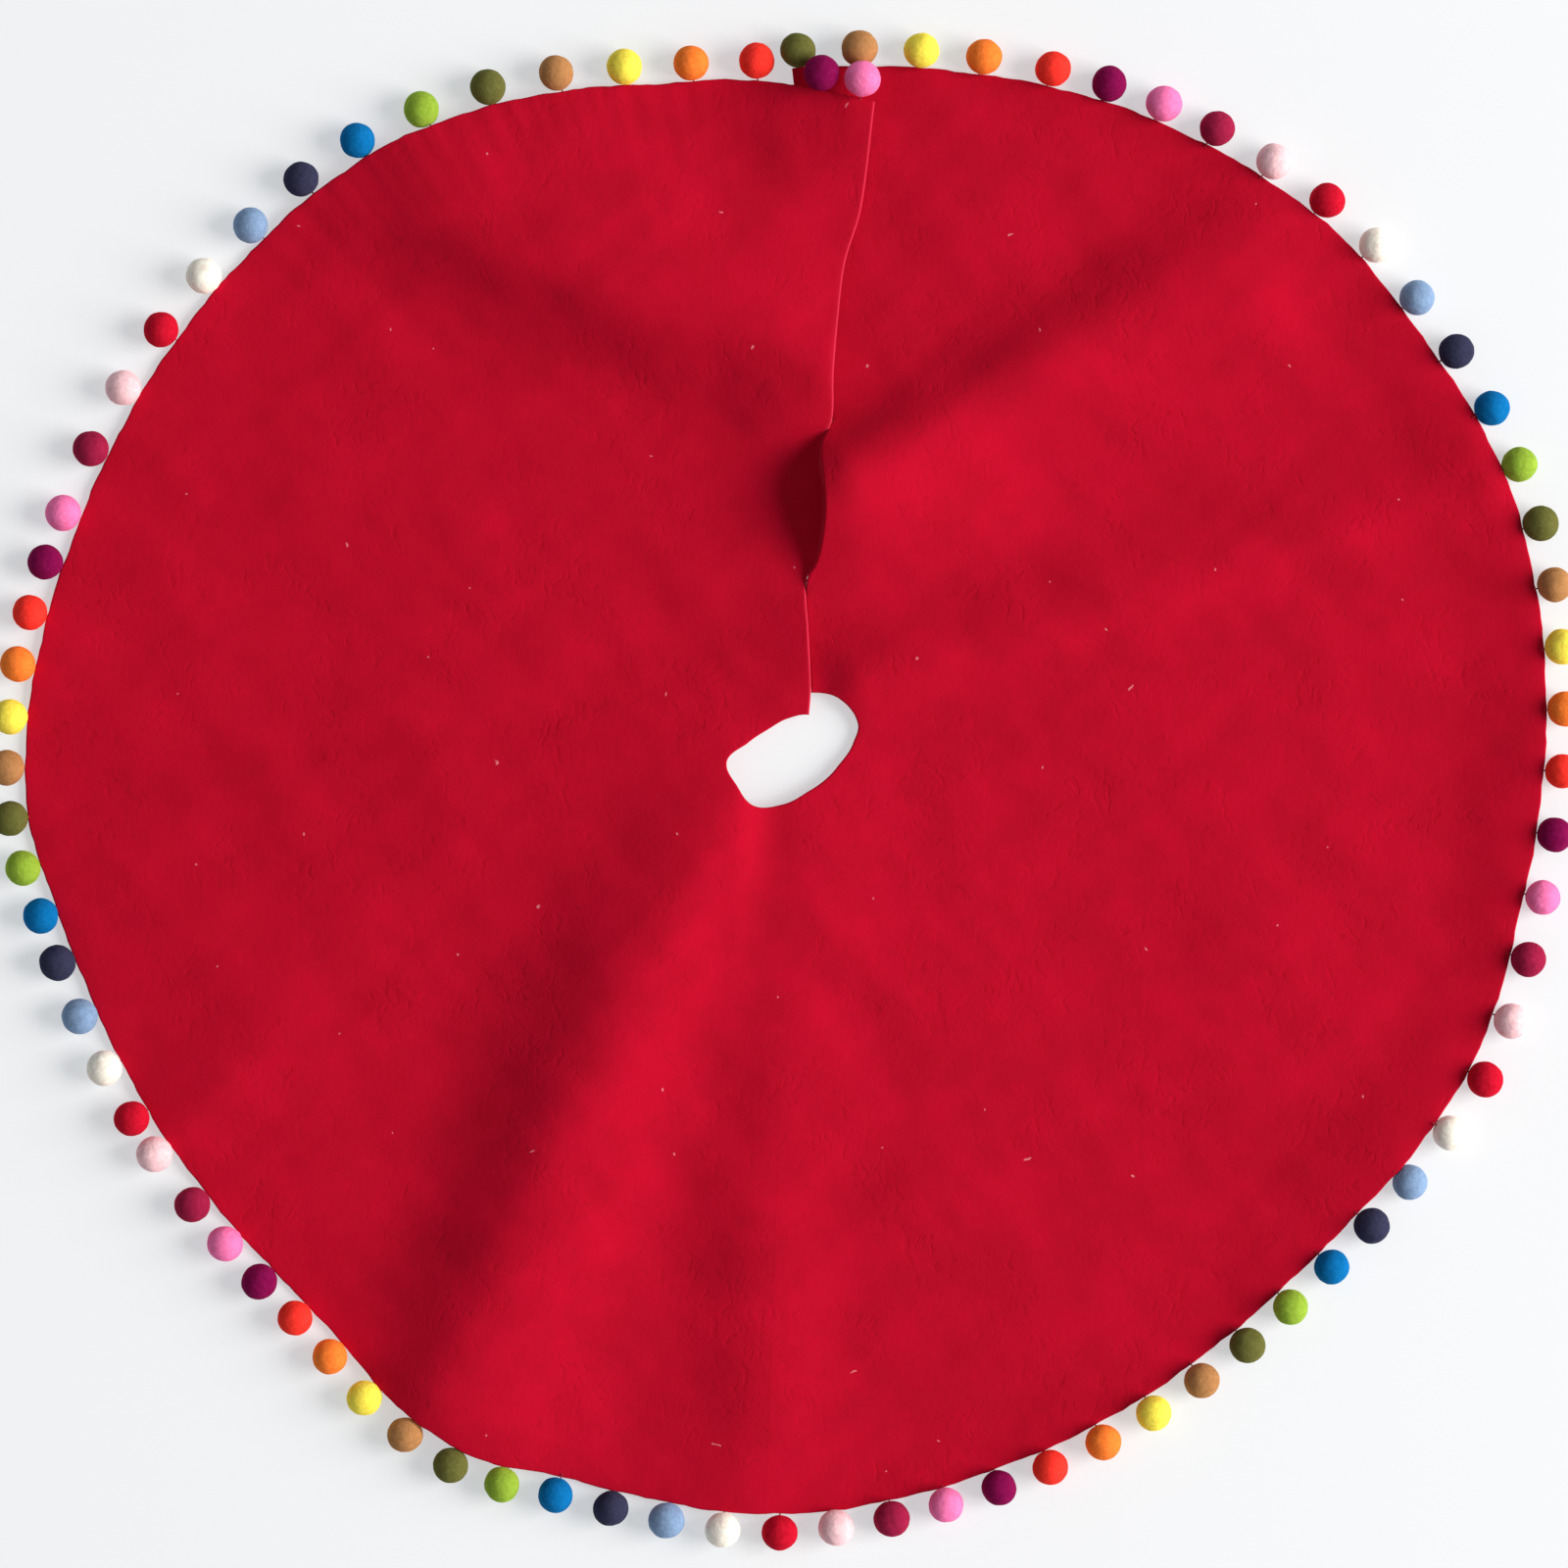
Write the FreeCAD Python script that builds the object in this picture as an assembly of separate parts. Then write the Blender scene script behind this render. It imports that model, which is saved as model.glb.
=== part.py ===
import FreeCAD, Part
import math
import os

# A wool felt tree skirt: one thick disc of felt with a trunk hole in its middle and a slit from the
# hole to the rim, and 82 felt balls sewn round the rim. It lies on the floor as it does under a tree,
# with soft folds, and the flap on one side of the slit laps over the flap on the other.
# Frame: the origin is the middle of the trunk hole at floor level, +Z is up, and the slit runs along +Y.
# Angles are in degrees round +Z from +X, and run on past 360 from the upper flap, round the back,
# to the under flap. All lengths are in millimetres.

# Driving dimensions
FELT_THICKNESS = 4.0
BALL_RADIUS = 14.3
BALL_COUNT = 82
BALL_CLEARANCE = 0.5        # between a ball and the felt it hangs on
THREAD_RADIUS = 0.6
THREAD_IN_FELT = 3.0        # how far in from the felt's edge the thread starts
THREAD_IN_BALL = 4.0        # how deep it goes into the ball
FLOOR_CUT_SIZE = 2500.0     # side of the block that flattens the underside at floor level
FLOOR_GAP = 3.0             # underside of the felt where it lies low
UPPER_HINGE = 149.0         # fold line of the upper flap
UNDER_HINGE = 398.3         # fold line of the under flap
HINGE_GAP = 0.4             # half the cut between two bodies along a fold line
SLIT_GAP = 0.5              # half the cut between the flaps where their edges meet
BACK = 268.0                # the back of the skirt, opposite the slit
UPPER_SLIT = 80.0           # roughly where the upper flap ends
UNDER_SLIT = 440.0          # roughly where the under flap ends
BODY_GRID = (20, 76)        # steps from hole to rim and round the rim, for each sheet of felt
UPPER_GRID = (30, 24)
UNDER_GRID = (30, 18)

# The rim, cut by hand and a little out of round, from the upper flap's corner round to the under
# flap's, as (angle, radius)
RIM_EDGE = [(76, 527), (84, 529), (94, 544), (101, 550), (114, 573), (126, 590), (146, 599), (162, 606),
            (180, 621), (186, 620), (193, 608), (207, 598), (229, 597), (240, 620), (246, 626),
            (253, 617), (270, 618), (290, 602), (316, 589), (336, 606), (348, 603), (378, 617),
            (396, 608), (402, 608), (420, 588), (438, 563), (454, 548)]

# Edge of the trunk hole from the upper flap's corner round to the under flap's, as (angle, radius)
HOLE_EDGE = [(63, 31), (97, 25), (140, 25), (172, 36), (190, 53), (213, 53), (235, 55), (260, 45),
             (293, 36), (339, 39), (367, 50), (381, 57), (407, 56), (429, 49)]

# The upper flap's slit edge from hole to rim, and the under flap's hidden edge beyond the lap's start
SLIT_EDGE = [(14, 28), (15.5, 50), (13.5, 95), (12, 138), (20, 152), (26, 183), (26.5, 205),
             (24, 245), (32.5, 266), (33.5, 303), (37, 345), (43, 393), (56, 437), (67, 523)]
UNDER_CORNER = (0.0, 551.5)
UNDER_HOLE_CORNER = (17.5, 46.0)
LAP_START = 268.0

# Folds: side of the slit (or both), start and end of the crest, crest heights at start, middle and end,
# and the fold's half-widths as (left at start, left at end, right at start, right at end)
FOLDS = [
    ("left", (-68, -61), (-275, -517), (20, 26, 22), (47, 90, 75, 56)),
    ("left", (12, 306), (-378, 457), (24, 26, 6), (68, 42, 61, 120)),
    ("left", (-194, -74), (-494, -134), (8.5, 5.5, 3), (52, 44, 57, 47)),
    ("left", (-293, -85), (-461, -264), (0, 3, 8), (39, 39, 26, 53)),
    ("left", (-60, -2), (-509, -23), (4, 7, 1), (24, 24, 24, 24)),
    ("right", (51, 231), (344, 388), (11, 17, 15), (29, 51, 28, 74)),
    ("right", (58, 56), (556, 216), (11, 8, 8), (33, 54, 29, 28)),
    ("right", (100, -372), (486, -320), (4, 2, 8.5), (30, 38, 52, 68)),
    ("both", (0, -57), (-32, -598), (7, 11, 5), (70, 40, 59, 52)),     # the crease of its storage
]

# Round rises and dips: side, centre, height, half-widths in X and Y
SWELLS = [
    ("right", (26, 195), 32, (95, 42)),     # the under flap's edge stands up
    ("left", (8, 80), 6, (50, 52)),         # the upper flap's edge lies on the under flap's near the hole
    ("left", (-60, -10), -3, (50, 50)),     # the felt comes down to the floor beside the hole
]

# The rim of one side leans up on its balls: how high, as (angle, height), and over what width
RIM_LEAN = [(268, 0), (300, 4), (330, 10), (360, 11), (390, 9), (420, 3), (440, 0), (454, 0)]
LEAN_WIDTH = 140.0

# Where the felt lies flat on the floor
REST_PADS = [(-420, 120), (250, -150)]
PAD_RADIUS = 90.0
PAD_DIP = 3.7

# The lap: the upper flap rides over the under flap's edge, and its corner's balls over the other balls
LAP_LIFT = 5.2
LAP_FADE = 70.0
LAP_RUN_IN = 16.0           # the lift begins this far before the lap
CORNER_LIFT = 13.5
CORNER_FADE = 90.0
CORNER_FROM, CORNER_TO = 94.0, 84.0

# Balls sewn at an even pitch between these, as (number of the ball, angle)
BALL_STRETCHES = [(0, 84), (1, 87.5), (8, 125.5), (15, 162), (19, 177.6), (24, 196.2), (27, 209.2),
                  (28, 212.4), (29, 217.2), (34, 236.6), (38, 252.4), (42, 269.1), (47, 289.8),
                  (55, 325), (62, 358.4), (68, 386), (74, 415.6), (77, 429), (78, 434.5), (81, 449.5)]
CORNER_BALLS = 2            # the first balls lie on top of the last ones
CORNER_BALL_HEIGHT = 31.6
BALL_HANG = 8.2             # how far a ball's centre hangs below a raised rim
COLOURS = ["pink", "purple", "red_orange", "orange", "yellow", "tan", "olive", "lime", "blue",
           "navy", "light_blue", "cream", "red", "light_pink", "maroon"]


def smooth(t):
    """0 below 0, 1 above 1, and a soft step between."""
    t = min(max(t, 0.0), 1.0)
    return t * t * (3 - 2 * t)


def polar(radius, angle):
    return radius * math.cos(math.radians(angle)), radius * math.sin(math.radians(angle))


def angle_near(x, y, near):
    """The angle of a point, on the same turn as near."""
    angle = math.degrees(math.atan2(y, x))
    return angle + 360 * round((near - angle) / 360)


def curve_through(points, at):
    """A smooth curve of y over x through the points: cubic between neighbours."""
    i = 0
    while i < len(points) - 2 and at > points[i + 1][0]:
        i += 1
    (x0, y0), (x1, y1) = points[i], points[i + 1]
    before = points[max(i - 1, 0)]
    after = points[min(i + 2, len(points) - 1)]
    slope0 = (y1 - before[1]) / (x1 - before[0])
    slope1 = (after[1] - y0) / (after[0] - x0)
    span = x1 - x0
    t = (at - x0) / span
    return ((2 * t**3 - 3 * t**2 + 1) * y0 + (t**3 - 2 * t**2 + t) * span * slope0
            + (3 * t**2 - 2 * t**3) * y1 + (t**3 - t**2) * span * slope1)


def rim_radius(angle):
    return curve_through(RIM_EDGE, angle)


def hole_radius(angle):
    return curve_through(HOLE_EDGE, angle)


def slit_x(y):
    return curve_through([(py, px) for px, py in SLIT_EDGE], y)


def fold_height(x, y, fold):
    """A fold's height at a point: a round-topped ridge along its crest line."""
    _, start, end, heights, widths = fold
    along_x, along_y = end[0] - start[0], end[1] - start[1]
    length = math.hypot(along_x, along_y)
    along_x, along_y = along_x / length, along_y / length
    along = (x - start[0]) * along_x + (y - start[1]) * along_y
    across = (y - start[1]) * along_x - (x - start[0]) * along_y
    t = min(max(along / length, 0.0), 1.0)
    crest = (heights[0] * (1 - t) * (1 - 2 * t) + 4 * heights[1] * t * (1 - t)
             + heights[2] * t * (2 * t - 1))
    if across > 0:
        width = widths[0] + t * (widths[1] - widths[0])
    else:
        width = widths[2] + t * (widths[3] - widths[2])
    beyond = along - t * length
    fade = widths[2] + t * (widths[3] - widths[2])
    return crest * math.exp(-(across / width) ** 2 - (beyond / fade) ** 2)


def lap_height(x, y, angle):
    """How far the upper flap is lifted by what lies beneath it."""
    ahead = smooth((y - LAP_START + LAP_RUN_IN) / LAP_RUN_IN)
    lap = LAP_LIFT * smooth(1 + (x - min(0.0, slit_x(y))) / LAP_FADE)
    inside = rim_radius(angle) - math.hypot(x, y)
    corner = smooth((CORNER_FROM - angle) / (CORNER_FROM - CORNER_TO)) * smooth(1 - inside / CORNER_FADE)
    return ahead * (lap + CORNER_LIFT * corner)


def underside(x, y, angle):
    """Height of the felt's underside above the floor."""
    side = "left" if angle < BACK else "right"
    z = FLOOR_GAP
    for fold in FOLDS:
        if fold[0] in (side, "both"):
            z += fold_height(x, y, fold)
    for swell_side, centre, height, widths in SWELLS:
        if swell_side == side:
            z += height * math.exp(-((x - centre[0]) / widths[0]) ** 2 - ((y - centre[1]) / widths[1]) ** 2)
    for px, py in REST_PADS:
        z -= PAD_DIP * math.exp(-(math.hypot(x - px, y - py) / PAD_RADIUS) ** 4)
    if side == "right":
        inside = rim_radius(angle) - math.hypot(x, y)
        z += curve_through(RIM_LEAN, angle) * smooth(1 - inside / LEAN_WIDTH)
    if side == "left" and angle < UPPER_HINGE:
        z += lap_height(x, y, angle)
    return z


def hinge_edge(angle, offset):
    """One side of the cut along a fold line, as a function from hole (0) to rim (1)."""
    def edge(u):
        r = hole_radius(angle) + u * (rim_radius(angle) - hole_radius(angle))
        x, y = polar(r, angle)
        sideways = polar(offset, angle + 90)
        return x + sideways[0], y + sideways[1]
    return edge


def upper_slit_edge(u):
    y = SLIT_EDGE[0][1] + u * (SLIT_EDGE[-1][1] - SLIT_EDGE[0][1])
    return slit_x(y) - SLIT_GAP, y


def under_slit_edge(u):
    y = UNDER_HOLE_CORNER[1] + u * (UNDER_CORNER[1] - UNDER_HOLE_CORNER[1])
    if y < LAP_START:
        return slit_x(y) + SLIT_GAP, y
    t = (y - LAP_START) / (UNDER_CORNER[1] - LAP_START)
    start = slit_x(LAP_START) + SLIT_GAP
    return start + t * (UNDER_CORNER[0] - start), y


def felt_sheet(edge_a, edge_b, near_a, near_b, steps):
    """A sheet of felt between two edges, from the trunk hole out to the rim."""
    rows, columns = steps
    grid = []
    for i in range(rows + 1):
        u = i / rows
        ends = []
        for edge, near in ((edge_a, near_a), (edge_b, near_b)):
            x, y = edge(u)
            angle = angle_near(x, y, near)
            plain = hole_radius(angle) + u * (rim_radius(angle) - hole_radius(angle))
            ends.append((angle, math.hypot(x, y) - plain))
        line = []
        for j in range(columns + 1):
            v = j / columns
            angle = ends[0][0] + v * (ends[1][0] - ends[0][0])
            radius = hole_radius(angle) + u * (rim_radius(angle) - hole_radius(angle))
            radius += (1 - v) * ends[0][1] + v * ends[1][1]
            x, y = polar(radius, angle)
            line.append(FreeCAD.Vector(x, y, underside(x, y, angle)))
        grid.append(line)
    surface = Part.BSplineSurface()
    surface.interpolate(grid)
    return surface.toShape().extrude(FreeCAD.Vector(0, 0, FELT_THICKNESS))


def cut_at_floor(sheet):
    """Flatten the sheet's underside where it lies on the floor."""
    size = FLOOR_CUT_SIZE
    below = Part.makeBox(size, size, size, FreeCAD.Vector(-size / 2, -size / 2, -size))
    return sheet.cut(below)


def ball_angle(number):
    for (n0, a0), (n1, a1) in zip(BALL_STRETCHES, BALL_STRETCHES[1:]):
        if number <= n1:
            return a0 + (number - n0) * (a1 - a0) / (n1 - n0)


def ball_and_stitch(number):
    """A felt ball hung on the rim, and the thread that sews it on."""
    angle = ball_angle(number)
    radius = rim_radius(angle)
    x, y = polar(radius, angle)
    low = underside(x, y, angle)
    high = low + FELT_THICKNESS
    z = CORNER_BALL_HEIGHT if number < CORNER_BALLS else max(BALL_RADIUS, low - BALL_HANG)
    step = max(z - high, low - z, 0.0)
    out = math.sqrt((BALL_RADIUS + BALL_CLEARANCE) ** 2 - step ** 2)
    centre = FreeCAD.Vector(*polar(radius + out, angle), z)
    ball = Part.makeSphere(BALL_RADIUS, centre)
    anchor = FreeCAD.Vector(*polar(radius - THREAD_IN_FELT, angle), (low + high) / 2)
    reach = centre - anchor
    length = reach.Length - BALL_RADIUS + THREAD_IN_BALL
    return ball, Part.makeCylinder(THREAD_RADIUS, length, anchor, reach)


def body_of(number):
    angle = ball_angle(number)
    if angle < UPPER_HINGE:
        return "upper_flap"
    return "under_flap" if angle > UNDER_HINGE else "skirt"


def save(name, solids):
    shape = solids[0] if len(solids) == 1 else Part.makeCompound(solids)
    shape.exportStep(f"parts/{name}.step")
    print(name, len(solids), "solids", round(sum(s.Volume for s in solids)), "mm3",
          "valid" if shape.isValid() else "NOT VALID")


def main():
    os.makedirs("parts", exist_ok=True)
    body = felt_sheet(hinge_edge(UPPER_HINGE, HINGE_GAP), hinge_edge(UNDER_HINGE, -HINGE_GAP),
                      UPPER_HINGE, UNDER_HINGE, BODY_GRID)
    upper = felt_sheet(upper_slit_edge, hinge_edge(UPPER_HINGE, -HINGE_GAP), UPPER_SLIT, UPPER_HINGE,
                       UPPER_GRID)
    under = felt_sheet(hinge_edge(UNDER_HINGE, HINGE_GAP), under_slit_edge, UNDER_HINGE, UNDER_SLIT,
                       UNDER_GRID)
    save("felt_body", [cut_at_floor(body)])
    save("felt_upper_flap", [upper])
    save("felt_under_flap", [under])

    balls, stitches = {}, {}
    for number in range(BALL_COUNT):
        ball, stitch = ball_and_stitch(number)
        place = body_of(number)
        colour = COLOURS[number % len(COLOURS)]
        balls.setdefault(f"{place}_balls_{colour}", []).append(ball)
        stitches.setdefault(f"{place}_ball_stitches", []).append(stitch)
    for name, solids in {**balls, **stitches}.items():
        save(name, solids)


main()
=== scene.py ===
import math
import random

import bpy
import numpy as np
from mathutils import Matrix, Vector, noise


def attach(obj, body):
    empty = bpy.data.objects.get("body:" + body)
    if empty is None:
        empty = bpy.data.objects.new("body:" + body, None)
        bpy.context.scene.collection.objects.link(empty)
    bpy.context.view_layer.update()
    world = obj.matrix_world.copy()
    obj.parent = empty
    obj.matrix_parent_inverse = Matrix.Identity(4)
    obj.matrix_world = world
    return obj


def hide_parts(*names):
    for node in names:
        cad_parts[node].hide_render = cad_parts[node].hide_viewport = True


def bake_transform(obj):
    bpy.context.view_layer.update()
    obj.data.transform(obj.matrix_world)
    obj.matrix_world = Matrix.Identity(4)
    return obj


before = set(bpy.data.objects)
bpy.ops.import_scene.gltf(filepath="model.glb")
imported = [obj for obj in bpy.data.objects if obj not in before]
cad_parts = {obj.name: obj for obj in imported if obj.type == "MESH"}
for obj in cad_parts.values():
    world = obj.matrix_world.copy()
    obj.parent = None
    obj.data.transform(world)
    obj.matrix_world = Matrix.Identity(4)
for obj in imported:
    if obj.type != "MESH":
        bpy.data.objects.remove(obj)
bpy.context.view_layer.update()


# ---------------------------------------------------------------------------------------------
# Studio. A pale floor whose material glows a little, painted light with no lamp behind it, so
# that shadows on it stay light, one broad soft lamp low on the right, light from all round, and a
# camera that looks straight down from a ladder, to see the whole rim.

def srgb(hex_colour):
    """A hex colour as linear red, green, blue and alpha."""
    parts = [int(hex_colour[i:i + 2], 16) / 255 for i in (0, 2, 4)]
    return [c / 12.92 if c <= 0.04045 else ((c + 0.055) / 1.055) ** 2.4 for c in parts] + [1.0]


def add_node(tree, kind, settings=None, **links):
    """Add a shader node, set its properties, and fill or link its inputs by name or number."""
    node = tree.nodes.new(kind)
    for key, value in (settings or {}).items():
        setattr(node, key, value)
    for key, value in links.items():
        socket = node.inputs[int(key[1:])] if key[0] == "_" else node.inputs[key.replace("_", " ")]
        if isinstance(value, bpy.types.NodeSocket):
            tree.links.new(value, socket)
        else:
            socket.default_value = value
    return node


def new_material(name):
    """A new node material, with its tree and its Principled shader."""
    material = bpy.data.materials.new(name)
    material.use_nodes = True
    tree = material.node_tree
    return material, tree, tree.nodes["Principled BSDF"]


FLOOR_SIZE = 24.0
FLOOR_GLOW = 0.56
LAMP_DISTANCE = 12.0
ROOM_LIGHT = 0.33
CAMERA_AT = (-0.0064, -0.0278, 4.5)
VIEW_WIDTH = 1.2704

bpy.ops.object.select_all(action="DESELECT")
bpy.ops.mesh.primitive_plane_add(size=FLOOR_SIZE)
floor = bpy.context.object
floor.name = "floor"
glowing_floor, tree, shader = new_material("glowing_floor_lightens_shadows")
shader.inputs["Base Color"].default_value = srgb("aaabad")
shader.inputs["Roughness"].default_value = 0.9
shader.inputs["Specular IOR Level"].default_value = 0.2
# the floor's own glow is painted light: it lifts the shadows on it, with no lamp behind it
shader.inputs["Emission Color"].default_value = srgb("f0f3f5")
shader.inputs["Emission Strength"].default_value = FLOOR_GLOW
floor.data.materials.append(glowing_floor)


def lamp(name, azimuth, elevation, size, power, colour):
    """A square soft lamp that looks at the middle of the skirt. Its two angles are in degrees."""
    azimuth, elevation = math.radians(azimuth), math.radians(elevation)
    bpy.ops.object.light_add(type="AREA")
    light = bpy.context.object
    light.name = name
    light.data.size = size
    light.data.energy = power
    light.data.color = srgb(colour)[:3]
    away = Vector((math.cos(azimuth) * math.cos(elevation), math.sin(azimuth) * math.cos(elevation),
                   math.sin(elevation)))
    light.location = away * LAMP_DISTANCE
    light.rotation_euler = away.to_track_quat("Z", "Y").to_euler()


lamp("window_lamp", azimuth=-1, elevation=30, size=8.2, power=2480, colour="fffaf6")
world = bpy.context.scene.world or bpy.data.worlds.new("room_light")
bpy.context.scene.world = world
world.use_nodes = True
world.node_tree.nodes["Background"].inputs["Color"].default_value = srgb("eef2f7")
world.node_tree.nodes["Background"].inputs["Strength"].default_value = ROOM_LIGHT
bpy.context.scene.view_settings.view_transform = "Standard"

bpy.ops.object.camera_add(location=CAMERA_AT)
camera = bpy.context.object
camera.data.angle = 2 * math.atan(VIEW_WIDTH / 2 / CAMERA_AT[2])
bpy.context.scene.camera = camera


# ---------------------------------------------------------------------------------------------
# The felt. One disc of thick wet-felted wool, cut by hand with a trunk hole and a slit, its edges
# left raw. It lies in the folds that it was stored in, and rides over its balls at the sides.
# Two pieces, one each side of the slit, meet at the back, where it was folded in half. Lengths in mm.

THICKNESS = 4.0
FLOOR_GAP = 3.0                        # from the floor to the felt's underside, where it lies flat
SLIT_GAP = 0.1
BACK = 268.0                           # angle of the back, degrees
UPPER_HINGE, UNDER_HINGE = 149.0, 398.3

# The rim and the trunk hole, as (angle in degrees, radius); the slit's edge, as (distance up the
# slit, offset to the right)
RIM_EDGE = [(76, 527), (84, 529), (94, 544), (101, 550), (114, 573), (126, 590), (146, 599), (162, 606),
            (180, 621), (186, 620), (193, 608), (207, 598), (229, 597), (240, 620), (246, 626),
            (253, 617), (270, 618), (290, 602), (316, 589), (336, 606), (348, 603), (378, 617),
            (396, 608), (402, 608), (420, 588), (438, 563), (454, 548)]
HOLE_EDGE = [(63, 31), (97, 25), (140, 25), (172, 36), (190, 53), (213, 53), (235, 55), (260, 45),
             (293, 36), (339, 39), (367, 50), (381, 57), (407, 56), (429, 49)]
SLIT_EDGE = [(28, 14), (50, 15.5), (95, 13.5), (138, 12), (152, 20), (183, 26), (205, 26.5),
             (245, 24), (266, 32.5), (303, 33.5), (345, 37), (393, 43), (437, 56), (523, 67)]
UNDER_CORNER = (0.0, 551.5)            # the under flap's corner on the rim, out of sight
UNDER_HOLE_CORNER = (17.5, 46.0)

# From LAP_START outwards the upper flap lies on the under flap, and its corner on the rim climbs
# over the last balls of the under flap
LAP_START = 268.0
LAP_LIFT, LAP_FADE, LAP_RUN_IN = 5.2, 70.0, 16.0
CORNER_LIFT, CORNER_FADE = 13.5, 90.0
CORNER_FROM, CORNER_TO = 94.0, 84.0    # degrees

# Nearer the hole one flap's edge stands over the other's, and the lower one tucks a little way
# beneath it, as (how far, middle, half-width) along the slit
UPPER_TUCK = (3.0, 200.0, 32.0)
UNDER_TUCK = (1.6, 92.0, 26.0)

# Folds as side of the slit, crest's start and end, its height at start, middle and end, and its
# half-widths (left at start, left at end, right at start, right at end)
FOLDS = [
    ("left", (-68, -61), (-275, -517), (20, 26, 22), (47, 90, 75, 56)),
    ("left", (16, 316), (-378, 457), (26, 31, 8), (54, 42, 61, 120)),
    ("left", (-194, -74), (-494, -134), (8.5, 5.5, 3), (52, 44, 57, 47)),
    ("left", (-293, -85), (-461, -264), (0, 3, 8), (39, 39, 26, 53)),
    ("left", (-60, -2), (-509, -23), (4, 7, 1), (24, 24, 24, 24)),
    ("right", (51, 231), (344, 388), (12, 19, 16), (29, 49, 28, 74)),
    ("right", (58, 56), (556, 216), (11, 8, 8), (33, 54, 29, 28)),
    ("right", (100, -372), (486, -320), (4, 2, 8.5), (30, 38, 52, 68)),
    ("both", (0, -57), (-32, -598), (7, 11, 5), (70, 40, 59, 52)),     # the crease of its storage
]

# Places where the felt stands up or comes down, as side of the slit, middle, height, half-widths
SWELLS = [
    ("right", (26, 200), 39, (125, 47)),        # the under flap's edge stands up
    ("left", (40, 85), 11, (50, 50)),           # the upper flap's lies on it near the hole
    ("left", (-60, -10), -3, (50, 50)),         # the felt comes down beside the hole
]
BACK_FADE = 45.0                       # over which one side's folds die out at the back
RIM_LEAN = [(268, 0), (300, 2), (330, 5), (360, 7), (390, 6), (420, 2), (440, 0), (454, 0)]
LEAN_WIDTH = 75.0                      # the right side's rim leans up on its balls
REST_PADS = [(-420, 120), (250, -150)]
PAD_RADIUS, PAD_DIP = 90.0, 2.6        # the felt comes down to the floor at these two places


def smooth(t):
    """From 0 to 1 with soft ends, and level outside them."""
    t = np.clip(t, 0.0, 1.0)
    return t * t * (3 - 2 * t)


def curve_through(points, at):
    """A smooth curve through the points: cubic between neighbours."""
    xs, ys = np.array(points, float).T
    slopes = np.empty_like(ys)
    slopes[1:-1] = (ys[2:] - ys[:-2]) / (xs[2:] - xs[:-2])
    slopes[0] = (ys[1] - ys[0]) / (xs[1] - xs[0])
    slopes[-1] = (ys[-1] - ys[-2]) / (xs[-1] - xs[-2])
    at = np.asarray(at, float)
    i = np.clip(np.searchsorted(xs, at) - 1, 0, len(xs) - 2)
    span = xs[i + 1] - xs[i]
    t = (at - xs[i]) / span
    return ((2 * t**3 - 3 * t**2 + 1) * ys[i] + (t**3 - 2 * t**2 + t) * span * slopes[i]
            + (3 * t**2 - 2 * t**3) * ys[i + 1] + (t**3 - t**2) * span * slopes[i + 1])


def rim_radius(angle):
    return curve_through(RIM_EDGE, angle)


def fold_height(x, y, start, end, heights, widths):
    """A round-topped ridge along its crest line."""
    along_x, along_y = end[0] - start[0], end[1] - start[1]
    length = math.hypot(along_x, along_y)
    along_x, along_y = along_x / length, along_y / length
    along = (x - start[0]) * along_x + (y - start[1]) * along_y
    across = (y - start[1]) * along_x - (x - start[0]) * along_y
    t = np.clip(along / length, 0.0, 1.0)
    crest = (heights[0] * (1 - t) * (1 - 2 * t) + 4 * heights[1] * t * (1 - t)
             + heights[2] * t * (2 * t - 1))
    left = widths[0] + t * (widths[1] - widths[0])
    right = widths[2] + t * (widths[3] - widths[2])
    width = np.where(across > 0, left, right)
    return crest * np.exp(-(across / width) ** 2 - ((along - t * length) / right) ** 2)


# The felt is never quite even: many faint waves, from two hands' width down to a finger's, as
# (wavelength, height) times how many
WAVES = [(260, 0.5)] * 5 + [(120, 0.2)] * 9 + [(60, 0.09)] * 14 + [(32, 0.04)] * 18
RIPPLES = []
random.seed(7)
for wavelength, height in WAVES:
    heading = random.uniform(0, math.tau)
    number = math.tau / (wavelength * random.uniform(0.8, 1.25))
    RIPPLES.append((number * math.cos(heading), number * math.sin(heading),
                    random.uniform(0, math.tau), height))


# The stitches draw the rim into fine puckers, most on the upper flap, where it rides highest
PUCKERS, PUCKERED, PUCKER_SPREAD = 187, 118.0, 22.0
PUCKER_HEIGHT, PUCKER_DEPTH = 0.7, 42.0
PUCKER_LEAST = 0.15                    # share of that height on the rest of the rim
PUCKER_DRIFT, PUCKER_DRIFTS = 2, 23    # their spacing wanders, so many times round the rim
LOWEST, SETTLE = 0.3, 0.8              # the underside settles softly on the floor


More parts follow.
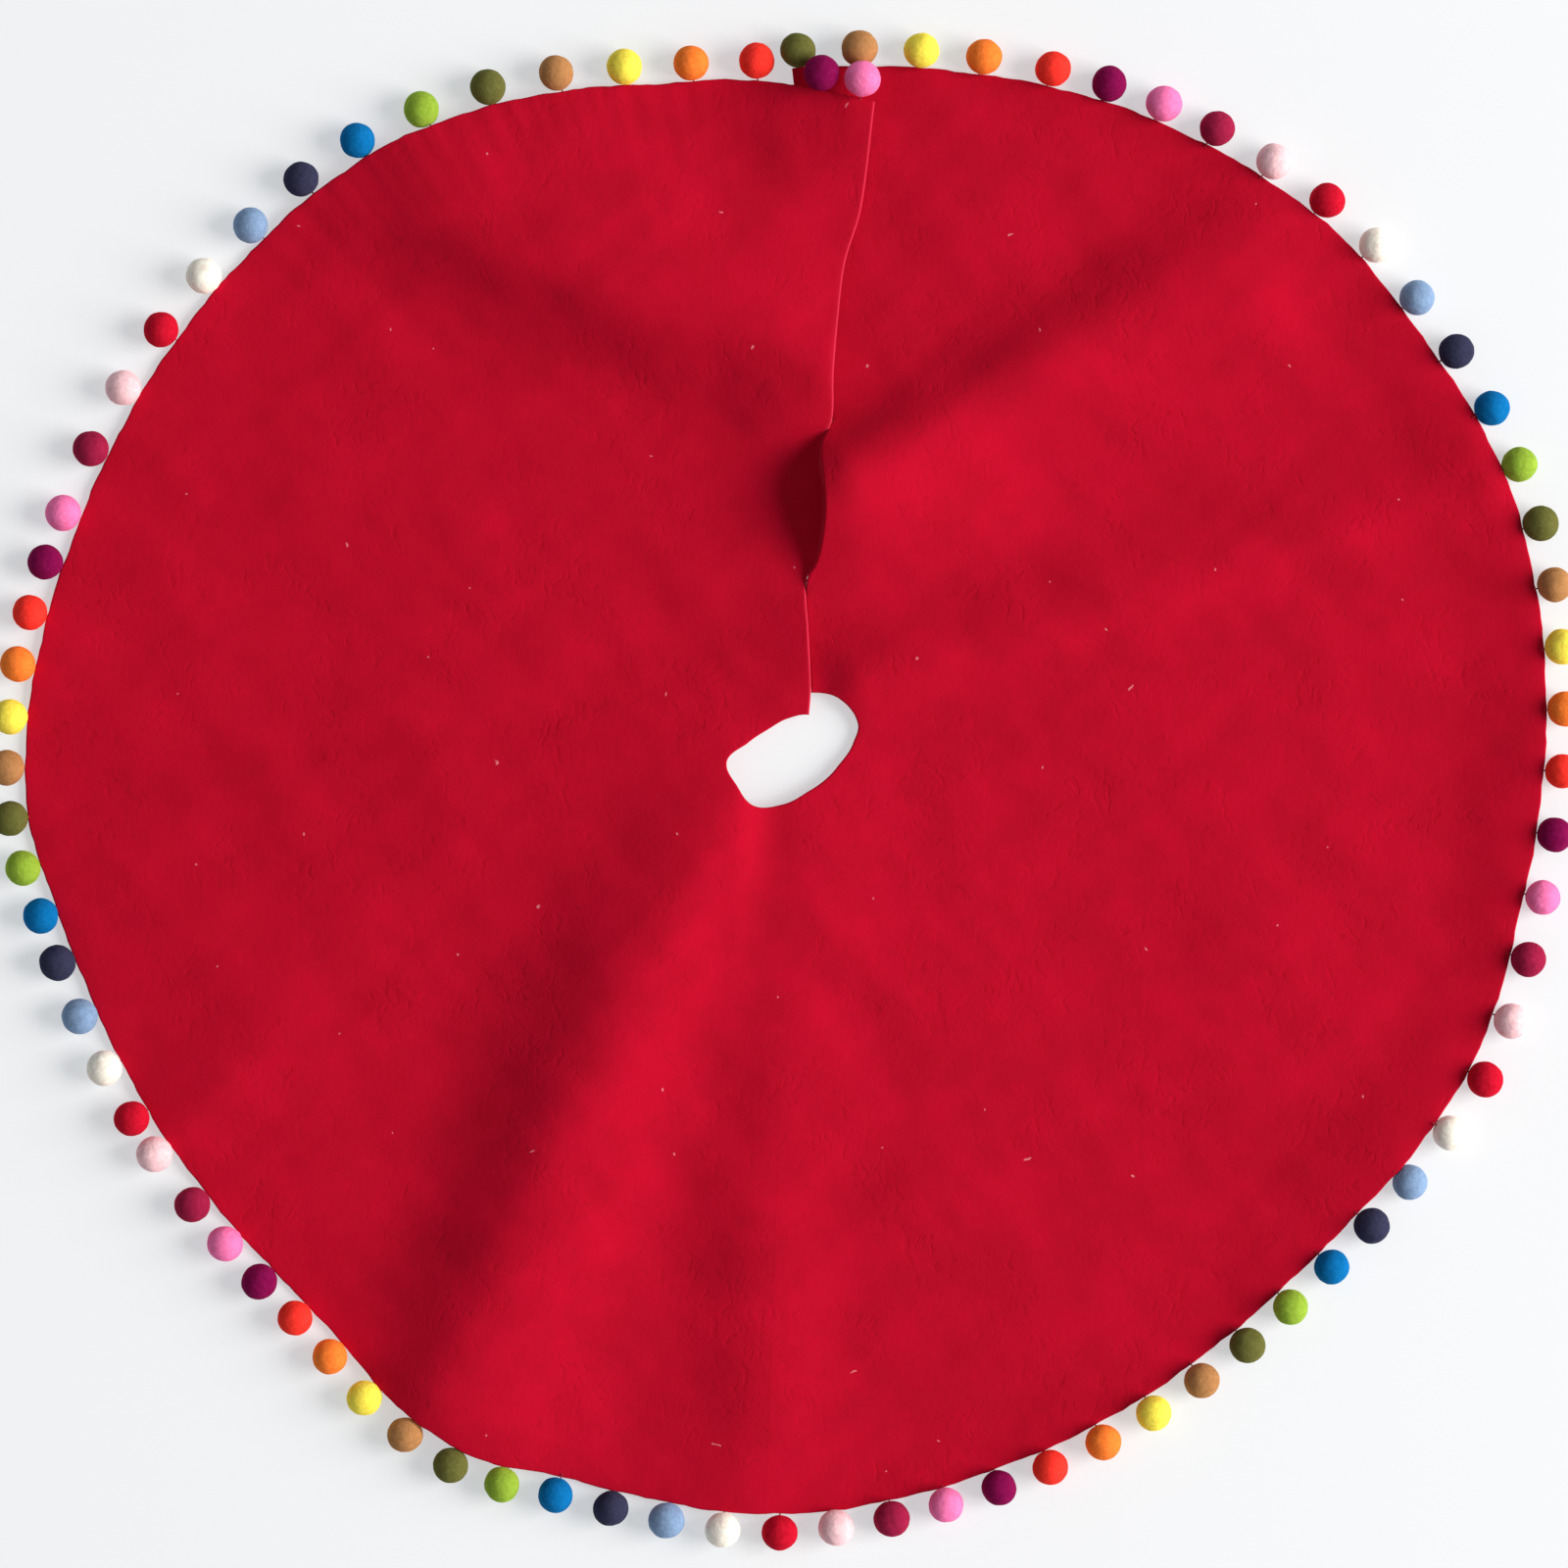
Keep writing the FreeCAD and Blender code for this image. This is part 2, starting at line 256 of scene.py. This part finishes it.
def middle_height(x, y, angle):
    """Height of the middle of the felt's thickness above the floor."""
    side = "left" if angle.mean() < BACK else "right"
    from_back = np.abs(x * math.sin(math.radians(BACK)) - y * math.cos(math.radians(BACK)))
    own = np.where(y < 0, smooth(from_back / BACK_FADE), 1.0)
    z = np.full_like(x, FLOOR_GAP)
    for fold_side, *fold in FOLDS:
        if fold_side == "both":
            z = z + fold_height(x, y, *fold)
        elif fold_side == side:
            z = z + own * fold_height(x, y, *fold)
    for swell_side, centre, height, widths in SWELLS:
        if swell_side == side:
            from_x, from_y = (x - centre[0]) / widths[0], (y - centre[1]) / widths[1]
            z = z + own * height * np.exp(-from_x ** 2 - from_y ** 2)
    for px, py in REST_PADS:
        z = z - PAD_DIP * np.exp(-(np.hypot(x - px, y - py) / PAD_RADIUS) ** 4)
    inside = rim_radius(angle) - np.hypot(x, y)
    if side == "right":
        z = z + curve_through(RIM_LEAN, angle) * smooth(1 - inside / LEAN_WIDTH)
    if side == "left":
        ahead = smooth((y - LAP_START + LAP_RUN_IN) / LAP_RUN_IN) * (angle < UPPER_HINGE)
        slit_x = curve_through(SLIT_EDGE, np.clip(y, SLIT_EDGE[0][0], SLIT_EDGE[-1][0]))
        z = z + ahead * LAP_LIFT * smooth(1 + (x - np.minimum(0.0, slit_x)) / LAP_FADE)
        near_rim = smooth(1 - inside / CORNER_FADE)
        climb = smooth((CORNER_FROM - angle) / (CORNER_FROM - CORNER_TO))
        z = z + ahead * CORNER_LIFT * climb * near_rim
    for kx, ky, phase, height in RIPPLES:
        z = z + height * np.sin(kx * x + ky * y + phase)
    drawn = PUCKER_HEIGHT * (PUCKER_LEAST + np.exp(-((angle - PUCKERED) / PUCKER_SPREAD) ** 2))
    turn = np.radians(angle)
    pulls = np.sin(turn * PUCKERS + PUCKER_DRIFT * np.sin(turn * PUCKER_DRIFTS))
    z = z + drawn * pulls * np.exp(-inside / PUCKER_DEPTH)
    z = LOWEST + np.logaddexp(0, (z - LOWEST) / SETTLE) * SETTLE
    return z + THICKNESS / 2


# The rim was cut by hand, as (how far the scissors strayed, how many times round, phase)
CUT_WAVES = [(0.40, 41, 1.0), (0.30, 97, 2.2), (0.22, 163, 0.4), (0.15, 287, 5.0)]
WOBBLE_SHARE = 1 / 6                   # of the way in from the rim, over which the wobble fades


def cut_wobble(angle, u):
    """How far the felt strays with the cut of the rim."""
    turn = np.radians(angle)
    strayed = sum(far * np.sin(times * turn + phase) for far, times, phase in CUT_WAVES)
    return strayed * smooth(1 - (1 - u) / WOBBLE_SHARE)


CELL = 6.0                             # size of the felt's mesh cells, mm
EDGE_STEPS = np.array([0.0, 0.15, 0.5, 1.1, 2.0])   # rows and columns that round a cut edge
EDGE_ROUND = EDGE_STEPS[-1]
REACH = 550.0                          # usual distance from hole to rim
# painted highlight: over this width the slit's cut edge is painted paler where it faces the lamp
EDGE_HIGHLIGHT_WIDTH = 1.2                        # width of the paler wool along the slit's cut edges


def edge_fullness(distance):
    """Share of the full thickness at a distance from a cut edge, which has soft corners."""
    t = 1 - np.minimum(distance, EDGE_ROUND) / EDGE_ROUND
    return (1 - t ** 3) ** (1 / 3)


def half_shape(slit_edge, slit_angle, sign):
    """Points of one half's middle, in rows from hole to rim, and its fullness at each."""
    edge = EDGE_STEPS[:-1]
    between = np.linspace(EDGE_ROUND, REACH - EDGE_ROUND, int(REACH / CELL))
    u = np.concatenate([edge, between, REACH - edge[::-1]]) / REACH
    columns = int(RIM_EDGE[-1][1] * math.radians(abs(BACK - slit_angle)) / CELL)
    share = np.concatenate([np.zeros(len(edge)), np.linspace(0, 1, columns)])
    offset = np.concatenate([edge, np.full(columns, EDGE_ROUND)])

    ex, ey = slit_edge(u)
    slit = np.degrees(np.arctan2(ey, ex))
    slit = slit + 360 * np.round((slit_angle - slit) / 360)
    hole = curve_through(HOLE_EDGE, slit)
    slip = np.hypot(ex, ey) - (hole + u * (rim_radius(slit) - hole))
    start = slit[:, None] + sign * np.degrees(offset[None, :] / np.hypot(ex, ey)[:, None])
    angle = start + share[None, :] * (BACK - start)
    hole = curve_through(HOLE_EDGE, angle)
    radius = hole + u[:, None] * (rim_radius(angle) - hole) + (1 - share[None, :]) * slip[:, None]
    radius = radius + cut_wobble(angle, u[:, None])
    x = radius * np.cos(np.radians(angle))
    y = radius * np.sin(np.radians(angle))
    z = middle_height(x, y, angle)
    full = edge_fullness((1 - u[:, None]) * REACH) * edge_fullness(u[:, None] * REACH)
    full = full * np.where(share[None, :] == 0, edge_fullness(offset[None, :]), 1.0)
    return np.stack([x, y, z], axis=-1) / 1000, full


def coordinates(piece):
    """Where a piece's vertices are, one row each."""
    spots = np.empty(len(piece.data.vertices) * 3)
    piece.data.vertices.foreach_get("co", spots)
    return spots.reshape(-1, 3)


def felt_half(name, slit_edge, slit_angle, sign):
    """One half of the skirt, from its slit edge (column 0) round to the back."""
    points, full = half_shape(slit_edge, slit_angle, sign)
    rows, columns = full.shape
    bpy.ops.object.select_all(action="DESELECT")
    bpy.ops.mesh.primitive_grid_add(x_subdivisions=columns - 1, y_subdivisions=rows - 1, size=1)
    piece = bpy.context.object
    piece.name = name
    piece.data.vertices.foreach_set("co", points.ravel())
    if sign > 0:
        piece.data.flip_normals()
    group = piece.vertex_groups.new(name="fullness")
    full = np.round(full.reshape(-1), 4)
    for value in np.unique(full):
        group.add([int(i) for i in np.flatnonzero(full == value)], float(value), "REPLACE")
    solid = piece.modifiers.new("thickness", "SOLIDIFY")
    solid.thickness = THICKNESS / 1000
    solid.offset = 0.0
    solid.vertex_group = "fullness"
    solid.use_rim = True
    bpy.ops.object.modifier_apply(modifier=solid.name)
    bpy.ops.object.mode_set(mode="EDIT")
    bpy.ops.mesh.select_all(action="SELECT")
    bpy.ops.mesh.remove_doubles(threshold=2e-6)
    bpy.ops.mesh.dissolve_degenerate(threshold=1e-7)
    bpy.ops.mesh.normals_make_consistent(inside=False)
    bpy.ops.object.mode_set(mode="OBJECT")
    bpy.ops.object.shade_smooth_by_angle(angle=math.radians(60))
    piece.vertex_groups.clear()
    return piece


def lay_wool(piece, gets_edge_highlight):
    """Felt's grain runs flat across the cloth, and the upper flap's cut edge, where it faces the lamp, is
    painted paler as a highlight.
    """
    uv = piece.data.uv_layers.new(name="felt")
    corner = np.empty(len(piece.data.loops), np.int64)
    piece.data.loops.foreach_get("vertex_index", corner)
    spots = coordinates(piece)
    uv.data.foreach_set("uv", spots[corner, :2].ravel())
    x, y = spots[:, 0] * 1000, spots[:, 1] * 1000
    from_slit = np.abs(x - curve_through(SLIT_EDGE, y))
    slit_length = (y > SLIT_EDGE[0][0]) & (y < SLIT_EDGE[-1][0])
    # painted highlight: a paler colour along the upper flap's cut edge, where it faces the lamp
    pale = slit_length * np.exp(-(from_slit / EDGE_HIGHLIGHT_WIDTH) ** 2) * gets_edge_highlight
    edge_highlight = piece.data.attributes.new("painted_edge_highlight", "FLOAT", "POINT")
    edge_highlight.data.foreach_set("value", pale.astype(np.float32))


def tuck(y, stretch):
    """How far a flap's edge goes beneath the other's, at a distance up the slit."""
    depth, middle, width = stretch
    return depth * np.exp(-((y - middle) / width) ** 2)


def upper_slit(u):
    """The upper flap's cut edge, from the hole (u = 0) to the rim (u = 1)."""
    y = SLIT_EDGE[0][0] + u * (SLIT_EDGE[-1][0] - SLIT_EDGE[0][0])
    return curve_through(SLIT_EDGE, y) - SLIT_GAP + tuck(y, UPPER_TUCK), y


def under_slit(u):
    """The under flap's cut edge. Beyond the start of the lap it runs straight to its corner."""
    y = UNDER_HOLE_CORNER[1] + u * (UNDER_CORNER[1] - UNDER_HOLE_CORNER[1])
    start = curve_through(SLIT_EDGE, LAP_START) + SLIT_GAP
    t = (y - LAP_START) / (UNDER_CORNER[1] - LAP_START)
    visible = curve_through(SLIT_EDGE, np.clip(y, SLIT_EDGE[0][0], SLIT_EDGE[-1][0])) + SLIT_GAP
    visible = visible - tuck(y, UNDER_TUCK)
    return np.where(y < LAP_START, visible, start + t * (UNDER_CORNER[0] - start)), y


# Thick wet-felted sheep's wool, dyed red. Matt, with a soft sheen off its loose fibres. The dye
# takes unevenly, which gives faint patches a few centimetres across. The matted fibres leave a
# fine nap, short soft creases 4 to 8 mm long that come in drifts, painted a little darker as shade
# in their hollows, and rarely a speck of pale lint 2 mm long. Along the upper flap's cut edge, which
# faces the lamp, a paler colour is painted in as a highlight.
red_felt, tree, shader = new_material("red_wet_felted_wool")
place = add_node(tree, "ShaderNodeUVMap", {"uv_map": "felt"}).outputs["UV"]
patches = add_node(tree, "ShaderNodeTexNoise", Vector=place, Scale=1 / 0.055, Detail=3.0, Roughness=0.6)
nap = add_node(tree, "ShaderNodeTexNoise", Vector=place, Scale=1 / 0.0045, Detail=3.0, Roughness=0.6)
drifts = add_node(tree, "ShaderNodeTexNoise", Vector=place, Scale=1 / 0.080, Detail=2.0)
drift = add_node(tree, "ShaderNodeMapRange", None, Value=drifts.outputs["Fac"], From_Min=0.42,
                 From_Max=0.62, To_Min=0.0, To_Max=1.0)
warp = add_node(tree, "ShaderNodeTexNoise", Vector=place, Scale=1 / 0.030, Detail=2.0)
bent = add_node(tree, "ShaderNodeMixRGB", {"blend_type": "ADD"}, Fac=0.035, Color1=place,
                Color2=warp.outputs["Color"])
drawn_out = add_node(tree, "ShaderNodeMapping", None, Vector=bent.outputs["Color"],
                     Scale=(1.0, 0.40, 1.0), Rotation=(0, 0, 0.5))
creases = add_node(tree, "ShaderNodeTexNoise", Vector=drawn_out.outputs["Vector"], Scale=1 / 0.0060,
                   Detail=1.5, Roughness=0.5)
crease_relief_and_shade = add_node(tree, "ShaderNodeMapRange", {"interpolation_type": "SMOOTHSTEP"},
                  Value=creases.outputs["Fac"], From_Min=0.50, From_Max=0.78, To_Min=0.0, To_Max=1.0)
crease_relief_and_shade = add_node(tree, "ShaderNodeMath", {"operation": "MULTIPLY"}, _0=crease_relief_and_shade.outputs["Result"],
                  _1=drift.outputs["Result"])
tone = add_node(tree, "ShaderNodeMath", {"operation": "MULTIPLY_ADD"}, _0=nap.outputs["Fac"], _1=0.35,
                _2=patches.outputs["Fac"])
# the creases are painted darker too: painted shade in their hollows
tone = add_node(tree, "ShaderNodeMath", {"operation": "MULTIPLY_ADD"}, _0=crease_relief_and_shade.outputs[0], _1=-0.15,
                _2=tone.outputs[0])
dye_and_crease_shade = add_node(tree, "ShaderNodeValToRGB", Fac=tone.outputs[0])
dye_and_crease_shade.color_ramp.elements[0].position = 0.40
dye_and_crease_shade.color_ramp.elements[0].color = srgb("ab0923")
dye_and_crease_shade.color_ramp.elements[1].position = 0.95
dye_and_crease_shade.color_ramp.elements[1].color = srgb("bf0a2a")
lint = add_node(tree, "ShaderNodeTexVoronoi", {"voronoi_dimensions": "2D"}, Vector=bent.outputs["Color"],
                Scale=1 / 0.14, Randomness=1.0)
speck = add_node(tree, "ShaderNodeMapRange", None, Value=lint.outputs["Distance"], From_Min=0.005,
                 From_Max=0.009, To_Min=0.6, To_Max=0.0)
colour = add_node(tree, "ShaderNodeMixRGB", None, Fac=speck.outputs["Result"], Color1=dye_and_crease_shade.outputs["Color"],
                  Color2=srgb("e8909c"))
# painted highlight: the upper flap's cut edge is painted paler where it faces the lamp
edge_highlight = add_node(tree, "ShaderNodeAttribute", {"attribute_name": "painted_edge_highlight"}).outputs["Fac"]
colour = add_node(tree, "ShaderNodeMixRGB", None, Fac=edge_highlight, Color1=colour.outputs["Color"],
                  Color2=srgb("c8304a"))
tree.links.new(colour.outputs["Color"], shader.inputs["Base Color"])
relief = add_node(tree, "ShaderNodeMath", {"operation": "MULTIPLY_ADD"}, _0=crease_relief_and_shade.outputs[0], _1=-1.2,
                  _2=nap.outputs["Fac"])
bump = add_node(tree, "ShaderNodeBump", None, Height=relief.outputs[0], Strength=0.28, Distance=0.0008)
tree.links.new(bump.outputs["Normal"], shader.inputs["Normal"])
shader.inputs["Roughness"].default_value = 0.95
shader.inputs["Specular IOR Level"].default_value = 0.05
shader.inputs["Sheen Weight"].default_value = 0.05
shader.inputs["Sheen Roughness"].default_value = 0.5
shader.inputs["Sheen Tint"].default_value = srgb("ff2038")

left_felt = felt_half("felt_left_half", upper_slit, 75.0, 1)
right_felt = felt_half("felt_right_half", under_slit, 440.0, -1)
lay_wool(left_felt, gets_edge_highlight=True)
lay_wool(right_felt, gets_edge_highlight=False)
for piece, flap, hinge, toward, flat, area in (
        (left_felt, "upper_flap", UPPER_HINGE, -1, (0.70, 1.17), 0.577),
        (right_felt, "under_flap", UNDER_HINGE, 1, (0.64, 1.18), 0.561)):
    piece.data.materials.append(red_felt)
    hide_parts("felt_body", "felt_" + flap)
    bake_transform(piece)


# ---------------------------------------------------------------------------------------------
# The balls. Each is wool rolled by hand in soapy water until it felts: nearly round, a little
# lumpy, matt and fuzzy. They repeat in fifteen colours round the rim, each sewn on by its side.

BALL_RADIUS = 0.0143
FULLNESS = 0.985                       # mean size between the dents and the lumps
LUMPS = [(1.3, 0.030), (3.1, 0.016), (9.0, 0.006)]      # how many across, and their height
OVAL = 0.02
LARGEST = 1.03
FLOOR_TOUCH = 0.0001
WOOL_COLOURS = {"pink": "ff78b0", "purple": "780543", "red_orange": "fb342a", "orange": "ff7c30",
                "yellow": "ffe350", "tan": "aa784a", "olive": "5f5f2e", "lime": "8aaa36",
                "blue": "0468a6", "navy": "2f3048", "light_blue": "7c97b9", "cream": "fff0e2",
                "red": "bc0c27", "light_pink": "f6c6cb", "maroon": "93193d"}


def ball_wool(name, colour):
    """Hand-rolled wool: matt, soft at its edge, with swirls of fibre drawn 1 mm wide so they show."""
    material, tree, shader = new_material(f"{name}_rolled_wool")
    place = add_node(tree, "ShaderNodeTexCoord").outputs["Object"]
    swirl = add_node(tree, "ShaderNodeTexNoise", Vector=place, Scale=1 / 0.006, Detail=3.0, Distortion=1.5)
    fibre = add_node(tree, "ShaderNodeTexNoise", Vector=place, Scale=1 / 0.0014, Detail=3.0, Roughness=0.7)
    tone = add_node(tree, "ShaderNodeMath", {"operation": "MULTIPLY_ADD"}, _0=fibre.outputs["Fac"], _1=0.6,
                    _2=swirl.outputs["Fac"])
    ramp = add_node(tree, "ShaderNodeValToRGB", Fac=tone.outputs[0])
    base = srgb(colour)
    ramp.color_ramp.elements[0].position = 0.55
    ramp.color_ramp.elements[0].color = [c * 0.86 for c in base[:3]] + [1.0]
    ramp.color_ramp.elements[1].position = 1.05
    ramp.color_ramp.elements[1].color = [min(1.0, c * 1.15 + 0.003) for c in base[:3]] + [1.0]
    tree.links.new(ramp.outputs["Color"], shader.inputs["Base Color"])
    bump = add_node(tree, "ShaderNodeBump", None, Height=tone.outputs[0], Strength=0.6, Distance=0.0006)
    tree.links.new(bump.outputs["Normal"], shader.inputs["Normal"])
    shader.inputs["Roughness"].default_value = 0.95
    shader.inputs["Specular IOR Level"].default_value = 0.05
    shader.inputs["Sheen Weight"].default_value = 0.45
    shader.inputs["Sheen Roughness"].default_value = 0.5
    shader.inputs["Sheen Tint"].default_value = base
    return material


def solids_of(node_name):
    """The points of each separate solid in a node, in a fixed order."""
    bpy.ops.object.select_all(action="DESELECT")
    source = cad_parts[node_name]
    copy = source.copy()
    copy.data = source.data.copy()
    bpy.context.collection.objects.link(copy)
    copy.hide_render = copy.hide_viewport = False
    bpy.context.view_layer.objects.active = copy
    copy.select_set(True)
    bpy.ops.object.mode_set(mode="EDIT")
    bpy.ops.mesh.select_all(action="SELECT")
    bpy.ops.mesh.remove_doubles(threshold=1e-6)
    bpy.ops.mesh.separate(type="LOOSE")
    bpy.ops.object.mode_set(mode="OBJECT")
    found = []
    for part in list(bpy.context.selected_objects):
        found.append(np.array([vertex.co for vertex in part.data.vertices]))
        bpy.data.objects.remove(part, do_unlink=True)
    return sorted(found, key=lambda points: tuple(points.mean(axis=0)))


def rolled_ball(centre, seed):
    """One ball at its place: a fine icosphere with lumps, dents and its own slight flattening."""
    bpy.ops.mesh.primitive_ico_sphere_add(subdivisions=5, radius=BALL_RADIUS * FULLNESS)
    ball = bpy.context.object
    draw = random.Random(seed)
    shift = Vector([draw.uniform(-50, 50) for _ in range(3)])
    size = draw.uniform(1.0, LARGEST)
    squeeze = Matrix.Rotation(draw.uniform(0, 3), 3, Vector([draw.uniform(-1, 1) for _ in range(3)]))
    for vertex in ball.data.vertices:
        way = vertex.co.normalized()
        lump = sum(noise.noise(way * across + shift) * height for across, height in LUMPS)
        turned = squeeze @ way
        oval = 1 + OVAL * (turned.x * turned.x - turned.z * turned.z)
        vertex.co = Vector(centre) + way * BALL_RADIUS * size * oval * (FULLNESS + lump)
        vertex.co.z = max(vertex.co.z, FLOOR_TOUCH)     # pressed flat where it rests
    bpy.ops.object.shade_smooth()
    return ball


seed = 0
for node_name in sorted(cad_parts):
    if "_balls_" not in node_name:
        continue
    body, colour = node_name.split("_balls_")
    made = []
    for points in solids_of(node_name):
        seed += 1
        made.append(rolled_ball((points.min(axis=0) + points.max(axis=0)) / 2, seed))
    bpy.ops.object.select_all(action="DESELECT")
    for ball in made:
        ball.select_set(True)
    bpy.context.view_layer.objects.active = made[0]
    if len(made) > 1:
        bpy.ops.object.join()
    balls = bpy.context.object
    balls.name = f"{colour}_balls_of_{body}"
    wool = bpy.data.materials.get(f"{colour}_rolled_wool") or ball_wool(colour, WOOL_COLOURS[colour])
    balls.data.materials.append(wool)
    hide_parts(node_name)
    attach(balls, body)


# ---------------------------------------------------------------------------------------------
# The stitches. Red cotton sewing thread, carried twice from inside the felt's edge into the ball, so
# that two strands side by side cross the small gap between them, each a little slack.

THREAD_RADIUS = 0.0003
STRAND_APART = 0.0006
SLACK = 0.0005

thread, tree, shader = new_material("red_cotton_thread")
place = add_node(tree, "ShaderNodeTexCoord").outputs["Object"]
twist = add_node(tree, "ShaderNodeTexNoise", Vector=place, Scale=1 / 0.0008, Detail=2.0)
ramp = add_node(tree, "ShaderNodeValToRGB", Fac=twist.outputs["Fac"])
ramp.color_ramp.elements[0].color = srgb("7d0618")
ramp.color_ramp.elements[1].color = srgb("b81230")
tree.links.new(ramp.outputs["Color"], shader.inputs["Base Color"])
shader.inputs["Roughness"].default_value = 0.8


def strand(start, end, aside, sag):
    """One strand of thread between two points, set aside from the straight line and sagging."""
    bpy.ops.curve.primitive_bezier_curve_add()
    curve = bpy.context.object
    curve.data.dimensions = "3D"
    curve.data.bevel_depth = THREAD_RADIUS
    curve.data.bevel_resolution = 2
    curve.data.resolution_u = 8
    first, last = curve.data.splines[0].bezier_points
    reach = (end - start) / 3
    for knot, at in ((first, start), (last, end)):
        knot.handle_left_type = knot.handle_right_type = "FREE"
        knot.co = at + aside
        knot.handle_left = at + aside - reach + sag
        knot.handle_right = at + aside + reach + sag
    return curve


draw = random.Random(31)
for node_name in sorted(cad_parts):
    if not node_name.endswith("_ball_stitches"):
        continue
    strands = []
    for points in solids_of(node_name):
        middle = points.mean(axis=0)
        axis = np.linalg.svd(points - middle, full_matrices=False)[2][0]
        half = np.abs((points - middle) @ axis).max()
        start, end = Vector(middle - axis * half), Vector(middle + axis * half)
        across = Vector(axis).cross(Vector((0, 0, 1))).normalized() * STRAND_APART / 2
        for way in (-1, 1):
            sag = Vector((0, 0, draw.uniform(-SLACK, SLACK)))
            strands.append(strand(start, end, across * way, sag))
    bpy.ops.object.select_all(action="DESELECT")
    for curve in strands:
        curve.select_set(True)
    bpy.context.view_layer.objects.active = strands[0]
    bpy.ops.object.convert(target="MESH")
    bpy.ops.object.join()
    stitches = bpy.context.object
    body = node_name[:-len("_ball_stitches")]
    stitches.name = "stitches_of_" + body
    stitches.data.materials.clear()
    stitches.data.materials.append(thread)
    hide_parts(node_name)
    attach(stitches, body)
